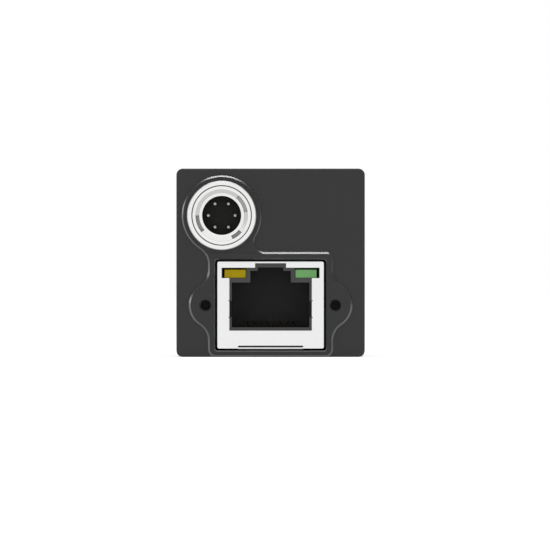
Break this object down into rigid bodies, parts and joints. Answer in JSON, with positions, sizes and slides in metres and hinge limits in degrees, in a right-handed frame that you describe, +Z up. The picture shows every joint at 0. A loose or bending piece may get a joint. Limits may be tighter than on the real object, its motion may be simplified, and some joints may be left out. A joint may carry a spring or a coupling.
{
  "type": "machine vision camera",
  "caption": "Small square-bodied area-scan camera with a screw lens mount in front, and a shielded network jack and round connector on a raised pad behind.",
  "frame": {"origin": "centre of the lens mount's flange face, on the optical axis", "axes": "+Y out of the lens mount along the optical axis, +X to the right seen from behind, +Z up, away from the base holes"},
  "size_m": [0.029, 0.0483, 0.029],
  "materials": {
    "housing": "fine matte black finish on aluminium",
    "steel_sheet": "bright tin-plated steel sheet",
    "connector_metal": "satin nickel plating",
    "black_plastic": "moulded, matte",
    "led_yellow": "unlit amber light guide",
    "led_green": "unlit green light guide",
    "filter_glass": "coated infrared-cut glass",
    "cover_glass": "clear",
    "silicon": "polished, iridescent",
    "ceramic": "dark alumina",
    "circuit_board": "green solder mask",
    "chip": "moulded epoxy",
    "crystal_can": "plated can",
    "gold": "gold plating",
    "nickel_brass": "nickel-plated brass",
    "screw_steel": "black oxide",
    "anodised": "black anodised",
    "bare_aluminium": "bead blasted",
    "thermal_gel": "soft, grey-blue",
    "gasket": "matte"
  },
  "bodies": {
    "root": {"front_housing": "housing", "rear_shell": "housing", "shell_screws": "screw_steel", "ir_filter": "filter_glass", "filter_seal": "gasket", "filter_retaining_ring": "anodised", "sensor_gasket": "gasket", "sensor_cover_glass": "cover_glass", "sensor_die": "silicon", "sensor_package": "ceramic", "sensor_board": "circuit_board", "processor_board": "circuit_board", "interface_board": "circuit_board", "lower_standoffs": "nickel_brass", "upper_standoffs": "nickel_brass", "board_screws": "nickel_brass", "sensor_board_header": "black_plastic", "processor_board_receptacle": "black_plastic", "processor_board_header": "black_plastic", "interface_board_receptacle": "black_plastic", "memory_chip": "chip", "flash_chip": "chip", "ethernet_transformer": "chip", "ethernet_phy_chip": "chip", "power_inductor": "chip", "optocoupler": "chip", "clock_crystal": "crystal_can", "processor_chip": "chip", "thermal_pad": "thermal_gel", "heat_spreader": "bare_aluminium", "ethernet_jack_shield": "steel_sheet", "ethernet_jack_housing": "black_plastic", "ethernet_jack_insert": "black_plastic", "ethernet_jack_contacts": "gold", "ethernet_led_yellow": "led_yellow", "ethernet_led_green": "led_green", "io_connector_shell": "connector_metal", "io_connector_insulator": "black_plastic", "io_connector_pins": "connector_metal", "io_connector_washer": "nickel_brass", "io_connector_nut": "connector_metal"}
  },
  "joints": []
}
